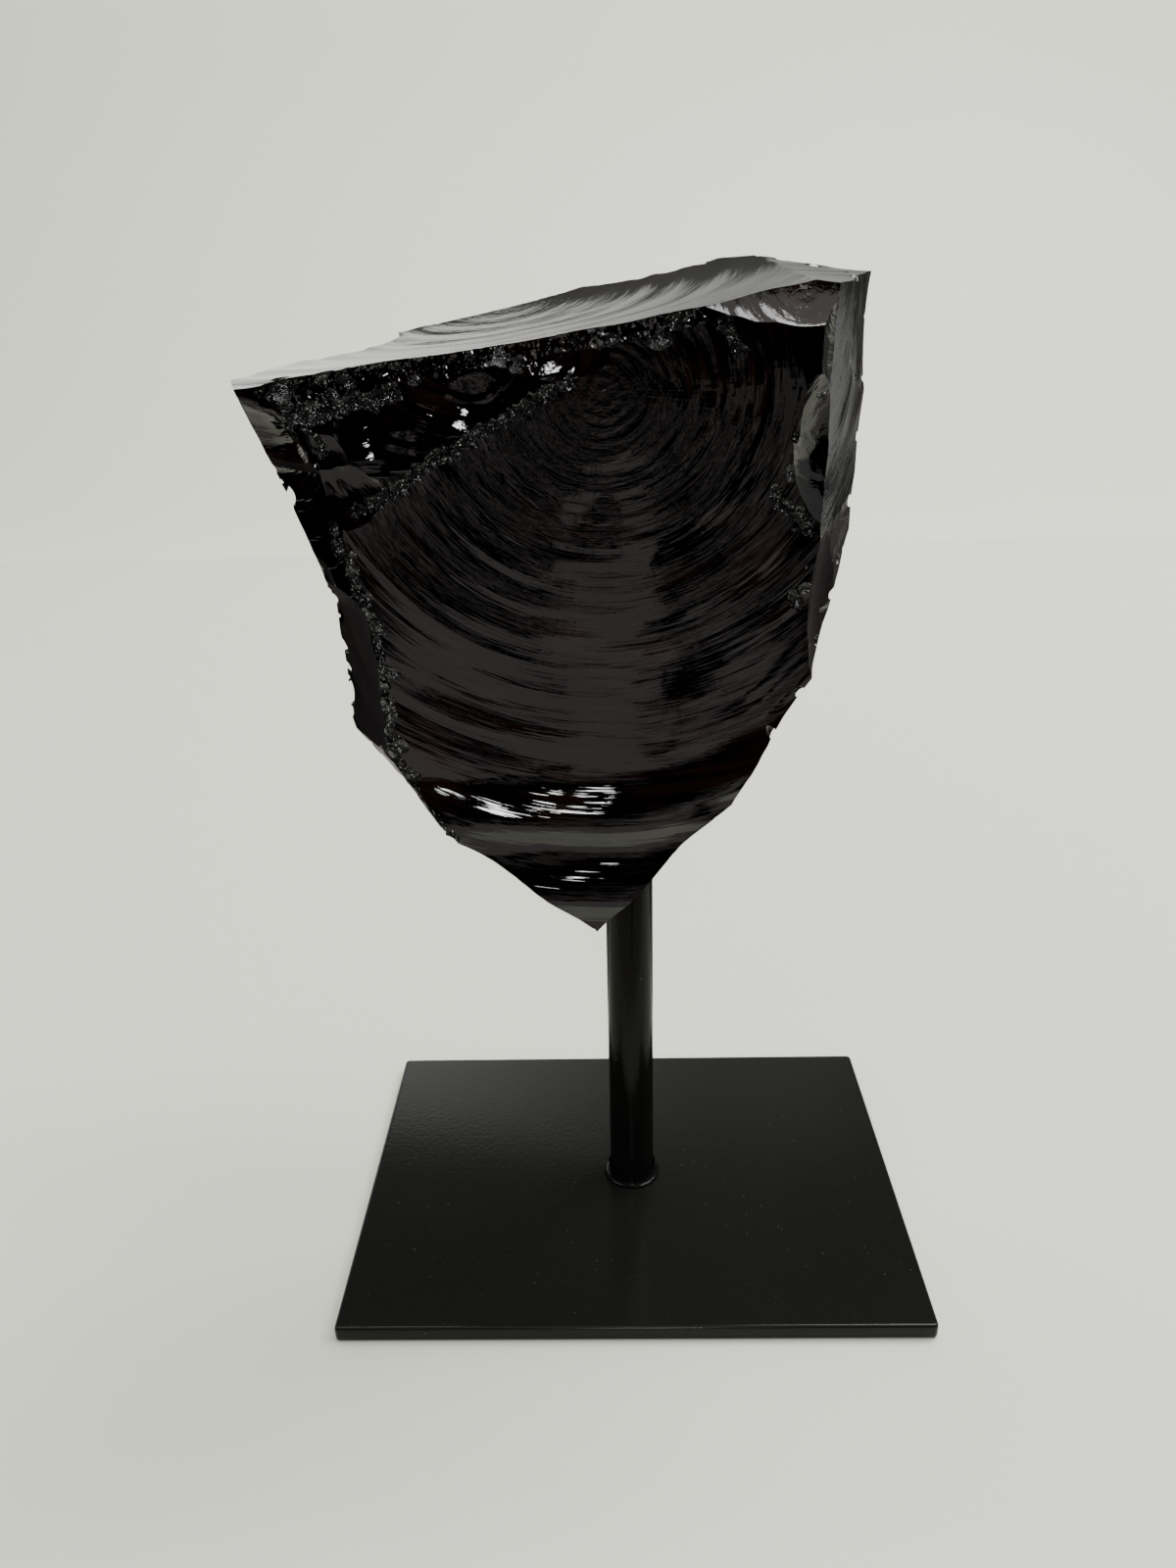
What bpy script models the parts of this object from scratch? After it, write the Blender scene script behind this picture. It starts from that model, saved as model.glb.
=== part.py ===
"""An obsidian chunk held up on a black steel post and base plate.

The chunk is made the way such a chunk comes about: a rough block loses one flake after another.
Each blow leaves a scar, a shallow dish whose ripples spread in rings from the point that was struck.
The stone's origin is the stand's: the middle of the plate's underside, +Z up, the big front scar facing -Y.
Places in the tables below are in millimetres, and MM turns them into metres.
"""

import math

import bmesh
import bpy
from mathutils import Vector, noise

MM = 0.001
GAP = 0.3 * MM

# The stand
PLATE_WIDTH = 100 * MM
PLATE_DEPTH = 76 * MM
PLATE_THICKNESS = 2.8 * MM
PLATE_EDGE_ROUNDING = 0.4 * MM
POST_X = 0.3 * MM
POST_Y = 0.4 * MM
POST_RADIUS = 4.15 * MM
POST_TOP = 91 * MM
POST_CHAMFER = 0.5 * MM
POST_SIDES = 40
BEAD_WIDTH = 0.9 * MM
BEAD_HEIGHT = 2.2 * MM

# The rough block that the flakes come off
BLOCK_LOW = (-62, -30, 54)
BLOCK_HIGH = (48, 36, 174)
BLOCK_SPARE = 1.5
CUTTER_THICKNESS = 34
BORE_DEPTH_BEYOND_POST = 1.5 * MM

# How far a big scar's dish rises again outside its own rim, as a share of its depth
RIM_RISE = 0.3

# The face that a scar has: (azimuth, elevation) of its outward direction in degrees, where azimuth 0 faces the
# viewer at -Y and 90 faces +X. "at" is the dish's middle, "reach" its sheet's half width and half height,
# "dish" its (depth, half width, half height), "struck" the point hit, measured on the sheet from "at",
# and "ripple" its (height, wavelength, waver). "ledge" is (distance below the middle, height) of the step where
# a flake broke off short. "lip" (distance above the middle, slope) turns the sheet outwards there, and "foot"
# does so below the middle.
BIG_SCARS = {
    "front": {"at": (-3, -15.6, 108), "facing": (0, -6), "reach": (60, 66), "cell": 2.4,
              "dish": (1.2, 44, 52), "struck": (0.2, 40.5), "ripple": (0.16, 6.4, 0.8)},
    "top": {"at": (-5, 4, 159.9), "facing": (-45.7, 77.9), "reach": (62, 40), "cell": 3.2, "up": (0, 1, 0),
            "dish": (2.0, 46, 26), "struck": (-14, 18), "ripple": (0.12, 6.0, 1.0)},
    "top_right": {"at": (28, 2, 163.6), "facing": (41, 81), "reach": (34, 40), "cell": 3.6, "up": (0, 1, 0),
                  "dish": (0.7, 18, 22), "struck": (10, -16), "ripple": (0.08, 6.0, 1.0)},
    "right": {"at": (31.2, -9.5, 132), "facing": (70, -0.5), "reach": (36, 50), "cell": 3.2,
              "dish": (0.9, 22, 34), "struck": (-6, 28), "ripple": (0.10, 6.5, 1.0)},
    "bottom_right_upper": {"at": (21.8, -14.7, 95.5), "facing": (98, -29), "reach": (42, 34), "cell": 3.6,
                           "dish": (0.6, 26, 15), "struck": (-10, 10), "ripple": (0.10, 7.0, 1.0)},
    "bottom_right_lower": {"at": (5.4, -14.9, 75.0), "facing": (112, -42.5), "reach": (44, 36), "cell": 3.6,
                           "dish": (0.5, 26, 18), "struck": (-8, -6), "ripple": (0.08, 7.0, 1.0)},
    "bottom_left_lower": {"at": (-14.5, -15.2, 70.9), "facing": (-112, -52), "reach": (40, 34), "cell": 3.6,
                          "dish": (0.5, 24, 14), "struck": (8, -6), "ripple": (0.08, 7.0, 1.0)},
    "bottom_left_back": {"at": (-35, -2, 86), "facing": (-122, -34), "reach": (42, 34), "cell": 3.6,
                         "dish": (0.8, 24, 12), "struck": (10, 4), "ripple": (0.10, 6.5, 1.0)},
    "left_low": {"at": (-36.9, -8.7, 89.3), "facing": (-61, -29), "reach": (34, 26), "cell": 3.4,
                 "dish": (0.6, 15, 9), "struck": (6, 8), "ripple": (0.08, 6.0, 1.0)},
    "left": {"at": (-41.2, -9.3, 104.9), "facing": (-57.5, -2.7), "reach": (34, 34), "cell": 3.2,
             "dish": (0.9, 13, 13), "struck": (8, 12), "ripple": (0.10, 6.5, 1.0), "lip": (13, 0.65)},
    "left_back": {"at": (-43.8, 1.8, 104), "facing": (-113, 1), "reach": (36, 38), "cell": 3.6,
                  "dish": (0.8, 16, 14), "struck": (8, 10), "ripple": (0.10, 6.5, 1.0), "lip": (14, 0.65)},
    "left_front": {"at": (-45.1, -14.7, 132), "facing": (-41, -10.4), "reach": (34, 34), "cell": 2.8,
                   "dish": (0.9, 12, 15), "struck": (-4, 14), "ripple": (0.08, 5.0, 1.0), "lip": (6.5, 0.62)},
    "left_rim": {"at": (-49.4, -8, 132), "facing": (-73, -19), "reach": (22, 30), "cell": 3.4,
                 "dish": (0.4, 10, 15), "struck": (-4, 14), "ripple": (0.08, 5.0, 1.0), "foot": (12, 0.6)},
    "left_upper": {"at": (-47.6, -4.2, 139.5), "facing": (-123, -12), "reach": (40, 46), "cell": 3.4,
                   "dish": (0.9, 18, 20), "struck": (-10, 4), "ripple": (0.10, 6.5, 1.0), "foot": (18, 0.45)},
    "back_left": {"at": (-18, 21, 150), "facing": (-163, -9.6), "reach": (62, 92), "cell": 3.8,
                  "dish": (1.0, 34, 60), "struck": (-6, 6), "ripple": (0.16, 8.5, 1.2)},
    "back_right": {"at": (23, 19, 150), "facing": (148, -10.5), "reach": (52, 92), "cell": 3.8,
                   "dish": (1.0, 24, 60), "struck": (6, 8), "ripple": (0.16, 8.0, 1.2)},
    "back_low": {"at": (0, 13, 84), "facing": (178, -38), "reach": (56, 50), "cell": 3.8,
                 "dish": (1.0, 32, 20), "struck": (4, 14), "ripple": (0.14, 7.5, 1.2)},
}

# Smaller flakes that bite the edges of the big scars
SMALL_SCARS = {
    "left_back_notch": {"at": (-45.0, 4.5, 151.6), "facing": (-150, 34), "reach": (14, 16), "cell": 2.4,
                        "dish": (2.0, 8.0, 10), "struck": (0, 9), "ripple": (0.10, 4.0, 0.6)},
    "back_high": {"at": (4, 26.5, 150), "facing": (176, 4), "reach": (30, 26), "cell": 3.4,
                  "dish": (3.4, 17, 17), "struck": (-4, 15), "ripple": (0.14, 6.0, 0.8)},
    "back_middle": {"at": (-20, 16.0, 122), "facing": (-170, -16), "reach": (26, 28), "cell": 3.4,
                    "dish": (2.8, 16, 18), "struck": (8, 14), "ripple": (0.14, 6.0, 0.8)},
    "back_side": {"at": (22, 13.0, 112), "facing": (142, -18), "reach": (22, 26), "cell": 3.4,
                  "dish": (2.4, 12, 17), "struck": (-4, 13), "ripple": (0.14, 6.0, 0.8)},
    "back_step": {"at": (-37.5, 22.0, 156.0), "facing": (-150, 12), "reach": (9, 9), "cell": 2.4,
                  "dish": (1.6, 6.0, 5.0), "struck": (0, 5), "ripple": (0.08, 3.6, 0.6)},
    "long_step": {"at": (-24.0, -20.0, 146.0), "facing": (-2, 3), "reach": (24, 15), "cell": 1.6,
                  "up": (-0.469, 0, 0.883), "dish": (1.5, 21, 20), "struck": (6, 9),
                  "ripple": (0.08, 3.0, 0.4), "ledge": (4.9, 2.6)},
    "left_scoop": {"at": (-47.6, -18.4, 142.4), "facing": (-45, -24), "reach": (11, 11), "cell": 1.8,
                   "dish": (2.6, 6.6, 6.4), "struck": (-2, 6), "ripple": (0.10, 2.8, 0.4)},
    "step_two": {"at": (-35.0, -19.4, 141.6), "facing": (-20, 8), "reach": (6, 9), "cell": 1.6,
                 "dish": (2.0, 4.0, 8.0), "struck": (0, 6), "ripple": (0.06, 2.8, 0.4), "ledge": (6.0, 2.0)},
    "step_three": {"at": (-29.0, -19.2, 144.0), "facing": (8, 3), "reach": (7, 9), "cell": 1.6,
                   "dish": (2.6, 4.4, 8.0), "struck": (1, 6), "ripple": (0.08, 3.0, 0.4), "ledge": (4.6, 2.0)},
    "step_four": {"at": (-20.6, -19.6, 147.2), "facing": (4, 6), "reach": (8, 9), "cell": 1.6,
                  "dish": (2.6, 6.0, 6.0), "struck": (0, 5), "ripple": (0.10, 2.6, 0.4), "ledge": (3.4, 2.0)},
    "step_five": {"at": (-10.8, -20.4, 151.4), "facing": (6, 10), "reach": (9, 6), "cell": 1.8,
                  "dish": (1.3, 7.0, 3.6), "struck": (0, 3), "ripple": (0.06, 2.6, 0.4)},
    "under_steps": {"at": (-36.6, -18.4, 135.4), "facing": (-12, -6), "reach": (8, 7), "cell": 1.8,
                    "dish": (1.0, 5.4, 4.4), "struck": (4, 5), "ripple": (0.10, 2.6, 0.4)},
    "top_lip": {"at": (21.5, -21.6, 158.4), "facing": (8, 24), "reach": (13, 7), "cell": 2.0,
                "dish": (1.1, 9.5, 3.6), "struck": (2, 4), "ripple": (0.08, 3.0, 0.4)},
    "right_strip": {"at": (28.6, -18.0, 151.5), "facing": (42, 0), "reach": (6, 12), "cell": 1.9,
                    "dish": (0.9, 3.2, 8.5), "struck": (1, 8), "ripple": (0.06, 3.4, 0.4)},
    "right_lens": {"at": (26.2, -18.0, 137.8), "facing": (34, 3), "reach": (9, 12), "cell": 2.0,
                   "dish": (1.7, 5.8, 8.4), "struck": (4, 6), "ripple": (0.08, 3.6, 0.4)},
    "right_upper": {"at": (34.6, -2.0, 149), "facing": (76, 8), "reach": (16, 16), "cell": 2.6,
                    "dish": (0.8, 10, 10), "struck": (-4, 9), "ripple": (0.10, 4.6, 0.6)},
    "right_twist": {"at": (33.6, -5.0, 136.0), "facing": (66, -12), "reach": (14, 10), "cell": 2.4,
                    "dish": (1.2, 9, 5.2), "struck": (5, 4), "ripple": (0.10, 4.0, 0.6)},
    "right_lower": {"at": (30.4, -9.0, 119), "facing": (62, -4), "reach": (13, 15), "cell": 2.6,
                    "dish": (1.1, 8, 10), "struck": (2, 9), "ripple": (0.08, 4.4, 0.6)},
    "corner_bite": {"at": (24.8, -15.0, 99.0), "facing": (64, -28), "reach": (7, 7), "cell": 2.0,
                    "dish": (1.0, 4.4, 3.6), "struck": (0, 3), "ripple": (0.06, 2.8, 0.4)},
    "low_right_bite": {"at": (9.8, -14.6, 78.6), "facing": (60, -44), "reach": (7, 6), "cell": 2.0,
                       "dish": (0.9, 5.0, 4.0), "struck": (0, 3), "ripple": (0.06, 2.8, 0.4)},
    "tip_sliver": {"at": (-14.4, -16.2, 70.6), "facing": (-34, -30), "reach": (10, 4), "cell": 2.0,
                   "dish": (0.5, 7.6, 1.8), "struck": (0, 2), "ripple": (0.04, 2.8, 0.4)},
    "left_bite_high": {"at": (-44.4, -13.0, 122.0), "facing": (-58, -10), "reach": (7, 7), "cell": 2.0,
                       "dish": (1.2, 4.2, 4.6), "struck": (0, 4), "ripple": (0.08, 2.8, 0.4)},
    "left_bite_middle": {"at": (-41.6, -11.8, 111.6), "facing": (-50, 4), "reach": (7, 8), "cell": 2.0,
                         "dish": (1.1, 4.4, 4.8), "struck": (0, 4), "ripple": (0.08, 2.8, 0.4)},
    "left_bite_low": {"at": (-38.2, -12.6, 93.4), "facing": (-52, -14), "reach": (7, 7), "cell": 2.0,
                      "dish": (1.1, 4.2, 4.6), "struck": (0, 4), "ripple": (0.08, 2.8, 0.4)},
}

# The front scar's crease: below it the glass swings outwards in two broad waves
CREASE_HEIGHT = 90.5
CREASE_MIDDLE_X = -4
CREASE_CLIMB = 0.015
LOWER_LEAN = 0.18
WAVE_SLOPE = 0.33
WAVE_LENGTH = 13
WAVE_START = 3.5


def clear_scene():
    for obj in list(bpy.data.objects):
        bpy.data.objects.remove(obj, do_unlink=True)


def make_material(name, colour, roughness, metallic):
    material = bpy.data.materials.new(name)
    material.use_nodes = True
    shader = material.node_tree.nodes["Principled BSDF"]
    shader.inputs["Base Color"].default_value = (*colour, 1)
    shader.inputs["Roughness"].default_value = roughness
    shader.inputs["Metallic"].default_value = metallic
    return material


def add_object(name, bm, material):
    mesh = bpy.data.meshes.new(name)
    bm.to_mesh(mesh)
    bm.free()
    obj = bpy.data.objects.new(name, mesh)
    bpy.context.collection.objects.link(obj)
    if material:
        mesh.materials.append(material)
    return obj


def shade_round(obj, angle):
    obj.data.shade_smooth()
    obj.data.set_sharp_from_angle(angle=math.radians(angle))


def facing_direction(azimuth, elevation):
    a = math.radians(azimuth)
    e = math.radians(elevation)
    return Vector((math.sin(a) * math.cos(e), -math.cos(a) * math.cos(e), math.sin(e)))


def scar_frame(scar):
    """The scar's middle, and its right, up and outward directions, in millimetres."""
    outward = facing_direction(*scar["facing"])
    right = Vector(scar.get("up", (0, 0, 1))).cross(outward).normalized()
    return Vector(scar["at"]), right, outward.cross(right), outward


def dish_height(across, along, dish, levels_off):
    """A shallow bowl, deepest in its middle. Outside its rim it levels off, or runs on up and out of the stone."""
    depth, half_width, half_height = dish
    share = (across / half_width) ** 2 + (along / half_height) ** 2
    if share <= 1 or not levels_off:
        return depth * (share - 1)
    return depth * RIM_RISE * (1 - math.exp(-(share - 1) / RIM_RISE))


def ripple_height(across, along, scar, seed):
    """Rings round the point that was struck, which grow with distance and waver a little."""
    height, wavelength, waver = scar["ripple"]
    from_x = across - scar["struck"][0]
    from_y = along - scar["struck"][1]
    distance = math.hypot(from_x, from_y)
    wander = waver * noise.noise(Vector((from_x, from_y, seed)) * 0.09)
    growth = min(1, distance / (3 * wavelength))
    return height * growth * math.sin(2 * math.pi * (distance + wander) / wavelength)


def swing_height(x, z):
    """The broad waves under the crease of the front scar, in the stone's own x and z."""
    crease = CREASE_HEIGHT + CREASE_CLIMB * max(0, x - CREASE_MIDDLE_X) ** 2
    below = crease - z
    if below <= 0:
        return 0
    swing = WAVE_SLOPE * WAVE_LENGTH / (2 * math.pi)
    phase = 2 * math.pi * WAVE_START / WAVE_LENGTH
    return LOWER_LEAN * below + swing * (math.sin(2 * math.pi * below / WAVE_LENGTH - phase) + math.sin(phase))


def scar_height(name, scar, across, along, seed):
    height = dish_height(across, along, scar["dish"], levels_off=name in BIG_SCARS)
    height += ripple_height(across, along, scar, seed)
    if name == "front":
        height += swing_height(scar["at"][0] + across, scar["at"][2] + along)
    if "ledge" in scar:
        below, rise = scar["ledge"]
        height += rise * min(1, max(0, -along - below))
    if "lip" in scar:
        above, slope = scar["lip"]
        height += slope * max(0, along - above)
    if "foot" in scar:
        below, slope = scar["foot"]
        height += slope * max(0, -along - below)
    return height


def make_flake(name, scar, seed):
    """The piece of glass that one blow takes off: the scar's sheet, thickened away from the stone."""
    middle, right, up, outward = scar_frame(scar)
    half_width, half_height = scar["reach"]
    columns = max(4, round(2 * half_width / scar["cell"]))
    rows = max(4, round(2 * half_height / scar["cell"]))
    bm = bmesh.new()
    bmesh.ops.create_grid(bm, x_segments=columns, y_segments=rows, size=1)
    for vertex in bm.verts:
        across = vertex.co.x * half_width
        along = vertex.co.y * half_height
        height = scar_height(name, scar, across, along, seed)
        vertex.co = (middle + right * across + up * along + outward * height) * MM
    sheet = bm.faces[:]
    grown = bmesh.ops.extrude_face_region(bm, geom=sheet, use_keep_orig=True)
    moved = [item for item in grown["geom"] if isinstance(item, bmesh.types.BMVert)]
    bmesh.ops.translate(bm, verts=moved, vec=outward * CUTTER_THICKNESS * MM)
    bmesh.ops.recalc_face_normals(bm, faces=bm.faces)
    flake = add_object("flake_" + name, bm, None)
    flake.hide_render = True
    flake.display_type = "WIRE"
    return flake


def make_block(material):
    """A rough block, trimmed flat a little outside each big scar that runs right across it."""
    bm = bmesh.new()
    bmesh.ops.create_cube(bm, size=1)
    low = Vector(BLOCK_LOW)
    size = Vector(BLOCK_HIGH) - low
    for vertex in bm.verts:
        share = vertex.co + Vector((0.5, 0.5, 0.5))
        vertex.co = (low + Vector((share.x * size.x, share.y * size.y, share.z * size.z))) * MM
    for name, scar in BIG_SCARS.items():
        if "lip" in scar or "foot" in scar:
            continue
        middle, _, _, outward = scar_frame(scar)
        spare = BLOCK_SPARE + (8 if name == "front" else 0)
        geometry = bm.verts[:] + bm.edges[:] + bm.faces[:]
        bmesh.ops.bisect_plane(bm, geom=geometry, plane_co=(middle + outward * spare) * MM,
                               plane_no=outward, clear_outer=True)
        open_edges = [edge for edge in bm.edges if edge.is_boundary]
        if open_edges:
            bmesh.ops.edgeloop_fill(bm, edges=open_edges)
    bmesh.ops.recalc_face_normals(bm, faces=bm.faces)
    return add_object("obsidian_chunk", bm, material)


def cut(stone, cutters):
    """Take all the cutters off the stone in one go."""
    group = bpy.data.collections.new("cutters")
    bpy.context.scene.collection.children.link(group)
    for cutter in cutters:
        group.objects.link(cutter)
        bpy.context.collection.objects.unlink(cutter)
    modifier = stone.modifiers.new("flakes and bore", "BOOLEAN")
    modifier.operation = "DIFFERENCE"
    modifier.solver = "EXACT"
    modifier.operand_type = "COLLECTION"
    modifier.collection = group


def make_bore():
    """The drilled hole that the post's end sits in."""
    bm = bmesh.new()
    low = POST_TOP - 60 * MM
    high = POST_TOP + BORE_DEPTH_BEYOND_POST
    bmesh.ops.create_cone(bm, cap_ends=True, segments=POST_SIDES, radius1=POST_RADIUS + GAP,
                          radius2=POST_RADIUS + GAP, depth=high - low)
    bmesh.ops.translate(bm, verts=bm.verts, vec=(POST_X, POST_Y, (low + high) / 2))
    bore = add_object("bore", bm, None)
    bore.hide_render = True
    bore.display_type = "WIRE"
    return bore


def make_stone():
    glass = make_material("obsidian", (0.006, 0.005, 0.006), 0.06, 0.0)
    stone = make_block(glass)
    scars = {**BIG_SCARS, **SMALL_SCARS}
    flakes = [make_flake(name, scar, seed=7.3 * number) for number, (name, scar) in enumerate(scars.items())]
    cut(stone, flakes + [make_bore()])
    return stone


def make_plate(paint):
    bm = bmesh.new()
    bmesh.ops.create_cube(bm, size=1)
    bmesh.ops.scale(bm, verts=bm.verts, vec=(PLATE_WIDTH, PLATE_DEPTH, PLATE_THICKNESS))
    bmesh.ops.translate(bm, verts=bm.verts, vec=(0, 0, PLATE_THICKNESS / 2))
    plate = add_object("base_plate", bm, paint)
    bevel = plate.modifiers.new("painted edges", "BEVEL")
    bevel.width = PLATE_EDGE_ROUNDING
    bevel.segments = 2
    shade_round(plate, 40)
    return plate


def make_post(paint):
    bm = bmesh.new()
    low = PLATE_THICKNESS + GAP
    bmesh.ops.create_cone(bm, cap_ends=True, segments=POST_SIDES, radius1=POST_RADIUS,
                          radius2=POST_RADIUS, depth=POST_TOP - low)
    bmesh.ops.translate(bm, verts=bm.verts, vec=(POST_X, POST_Y, (POST_TOP + low) / 2))
    upper_rim = [edge for edge in bm.edges if all(v.co.z > POST_TOP - POST_CHAMFER for v in edge.verts)]
    bmesh.ops.bevel(bm, geom=upper_rim, offset=POST_CHAMFER, segments=1, affect="EDGES")
    post = add_object("post", bm, paint)
    shade_round(post, 40)
    return post


def make_weld_bead(paint):
    """The ring of weld where the post meets the plate, hollow on its outer side."""
    inner = POST_RADIUS + GAP
    low = PLATE_THICKNESS + GAP
    profile = [(inner, low), (inner + BEAD_WIDTH, low), (inner + 0.75 * BEAD_WIDTH, low + 0.35 * BEAD_HEIGHT),
               (inner + 0.35 * BEAD_WIDTH, low + 0.75 * BEAD_HEIGHT), (inner, low + BEAD_HEIGHT)]
    bm = bmesh.new()
    corners = [bm.verts.new((radius, 0, height)) for radius, height in profile]
    loop = [bm.edges.new((corners[i - 1], corners[i])) for i in range(len(corners))]
    bmesh.ops.spin(bm, geom=corners + loop, cent=(0, 0, 0), axis=(0, 0, 1), angle=2 * math.pi,
                   steps=POST_SIDES, use_merge=True)
    bmesh.ops.remove_doubles(bm, verts=bm.verts, dist=0.00001)
    bmesh.ops.recalc_face_normals(bm, faces=bm.faces)
    bmesh.ops.translate(bm, verts=bm.verts, vec=(POST_X, POST_Y, 0))
    bead = add_object("weld_bead", bm, paint)
    shade_round(bead, 50)
    return bead


def main():
    clear_scene()
    paint = make_material("black_paint", (0.012, 0.012, 0.011), 0.38, 0.0)
    make_plate(paint)
    make_post(paint)
    make_weld_bead(paint)
    make_stone()


main()
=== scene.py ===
import math

import bmesh
import bpy
import numpy as np
from mathutils import Matrix, Vector, noise
from mathutils.bvhtree import BVHTree


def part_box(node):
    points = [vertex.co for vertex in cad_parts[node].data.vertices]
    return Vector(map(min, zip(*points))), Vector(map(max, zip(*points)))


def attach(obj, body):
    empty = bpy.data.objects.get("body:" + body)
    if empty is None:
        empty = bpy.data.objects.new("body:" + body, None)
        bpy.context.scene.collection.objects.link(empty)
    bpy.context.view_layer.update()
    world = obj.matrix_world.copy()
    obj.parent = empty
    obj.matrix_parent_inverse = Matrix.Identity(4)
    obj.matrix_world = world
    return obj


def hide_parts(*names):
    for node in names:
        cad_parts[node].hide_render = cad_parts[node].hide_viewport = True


# Obsidian chunk on its black steel stand. Places are in millimetres and mm turns them into metres.

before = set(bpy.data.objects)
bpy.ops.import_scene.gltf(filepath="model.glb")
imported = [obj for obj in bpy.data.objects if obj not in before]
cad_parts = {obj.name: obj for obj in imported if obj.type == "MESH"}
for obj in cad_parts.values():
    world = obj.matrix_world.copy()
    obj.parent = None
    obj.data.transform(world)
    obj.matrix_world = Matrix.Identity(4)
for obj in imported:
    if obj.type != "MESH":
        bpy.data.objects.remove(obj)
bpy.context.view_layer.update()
mm = 0.001
coarser = 1.0


# Small helpers for node trees

class Value:
    def __init__(self, net, node, output=0):
        self.net = net
        self.node = node
        self.output = output

    @property
    def socket(self):
        return self.node.outputs[self.output]

    def of(self, output):  # another output of the same node
        return Value(self.net, self.node, output)

    def __add__(self, other):
        return self.net.math("ADD", self, other)

    def __radd__(self, other):
        return self.net.math("ADD", other, self)

    def __sub__(self, other):
        return self.net.math("SUBTRACT", self, other)

    def __rsub__(self, other):
        return self.net.math("SUBTRACT", other, self)

    def __mul__(self, other):
        return self.net.math("MULTIPLY", self, other)

    def __rmul__(self, other):
        return self.net.math("MULTIPLY", other, self)

    def __truediv__(self, other):
        return self.net.math("DIVIDE", self, other)

    def __rtruediv__(self, other):
        return self.net.math("DIVIDE", other, self)


class Net:
    def __init__(self, tree):
        self.tree = tree
        tree.nodes.clear()

    def add(self, kind, settings=None, inputs=None, output=0):
        node = self.tree.nodes.new(kind)
        for name, value in (settings or {}).items():
            if name == "stops":
                self.setStops(node.color_ramp, value)
            else:
                setattr(node, name, value)
        for name, value in (inputs or {}).items():
            if isinstance(value, Value):
                self.tree.links.new(value.socket, node.inputs[name])
            else:
                node.inputs[name].default_value = value
        return Value(self, node, output)

    def setStops(self, ramp, stops):
        while len(ramp.elements) < len(stops):
            ramp.elements.new(1)
        for element, (place, colour) in zip(ramp.elements, stops):
            element.position = place
            element.color = (*colour, 1)

    def math(self, operation, *values):
        return self.add("ShaderNodeMath", {"operation": operation}, dict(enumerate(values)))

    def vector(self, operation, inputs):
        return self.add("ShaderNodeVectorMath", {"operation": operation}, inputs)

    def smooth(self, value, low, high):  # 0 at low, 1 at high, eased between
        inputs = {"Value": value, "From Min": low, "From Max": high}
        return self.add("ShaderNodeMapRange", {"interpolation_type": "SMOOTHSTEP"}, inputs)

    def mix(self, factor, first, second):
        return self.add("ShaderNodeMix", {"data_type": "RGBA"}, {0: factor, 6: first, 7: second}, 2)

    def noise(self, vector, scale, detail=2.0, roughness=0.5, distortion=0.0):
        return self.add("ShaderNodeTexNoise", {}, {"Vector": vector, "Scale": scale, "Detail": detail,
                                                   "Roughness": roughness, "Distortion": distortion})

    def bump(self, height, distance, strength=1.0, normal=None):
        inputs = {"Height": height, "Distance": distance, "Strength": strength}
        if normal:
            inputs["Normal"] = normal
        return self.add("ShaderNodeBump", {}, inputs)


def newMaterial(name):
    material = bpy.data.materials.new(name)
    material.use_nodes = True
    return material, Net(material.node_tree)


def finishMaterial(net, inputs):
    shader = net.add("ShaderNodeBsdfPrincipled", {}, inputs)
    net.add("ShaderNodeOutputMaterial", {}, {"Surface": shader})


# The camera stands where the photo's camera stood

cameraValues = {
    "place": (-2.2, -183.3, 156.7),
    "pitchDown": 21.563,  # degrees
    "turnLeft": 1.336,
    "rollLeft": 1.365,
    "focalPixels": 1186.5,
    "photoHeight": 1600,
}


def makeCamera(v):
    pitch = math.radians(v["pitchDown"])
    yaw = math.radians(-v["turnLeft"])
    roll = math.radians(-v["rollLeft"])
    forward = Vector((math.sin(yaw) * math.cos(pitch), math.cos(yaw) * math.cos(pitch), -math.sin(pitch)))
    level = Vector((math.cos(yaw), -math.sin(yaw), 0))
    upright = level.cross(forward)
    right = level * math.cos(roll) + upright * math.sin(roll)
    up = upright * math.cos(roll) - level * math.sin(roll)
    data = bpy.data.cameras.new("camera")
    data.sensor_fit = "VERTICAL"
    data.sensor_width = 36
    data.sensor_height = 36
    data.lens = v["focalPixels"] * 36 / v["photoHeight"]
    data.clip_start = 0.01
    camera = bpy.data.objects.new("camera", data)
    bpy.context.collection.objects.link(camera)
    turn = Matrix((right, up, -forward)).transposed().to_4x4()
    camera.matrix_world = Matrix.Translation(Vector(v["place"]) * mm) @ turn
    bpy.context.scene.camera = camera


# Meshes

def meshObject(name, vertices, faces, material):
    mesh = bpy.data.meshes.new(name)
    mesh.from_pydata(vertices, [], faces)
    mesh.materials.append(material)
    obj = bpy.data.objects.new(name, mesh)
    bpy.context.collection.objects.link(obj)
    return obj


def solidObject(name, bm, material):  # turns a bmesh into an object
    mesh = bpy.data.meshes.new(name)
    bm.to_mesh(mesh)
    bm.free()
    mesh.materials.append(material)
    obj = bpy.data.objects.new(name, mesh)
    bpy.context.collection.objects.link(obj)
    return obj


def asMesh(obj, name):  # the object as its modifiers show it, as a new plain mesh
    graph = bpy.context.evaluated_depsgraph_get()
    evaluated = obj.evaluated_get(graph)
    mesh = bpy.data.meshes.new_from_object(evaluated, preserve_all_data_layers=True, depsgraph=graph)
    mesh.name = name
    result = bpy.data.objects.new(name, mesh)
    bpy.context.collection.objects.link(result)
    return result


def shadeRound(obj, angle):
    obj.data.shade_smooth()
    obj.data.set_sharp_from_angle(angle=math.radians(angle))


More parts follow.
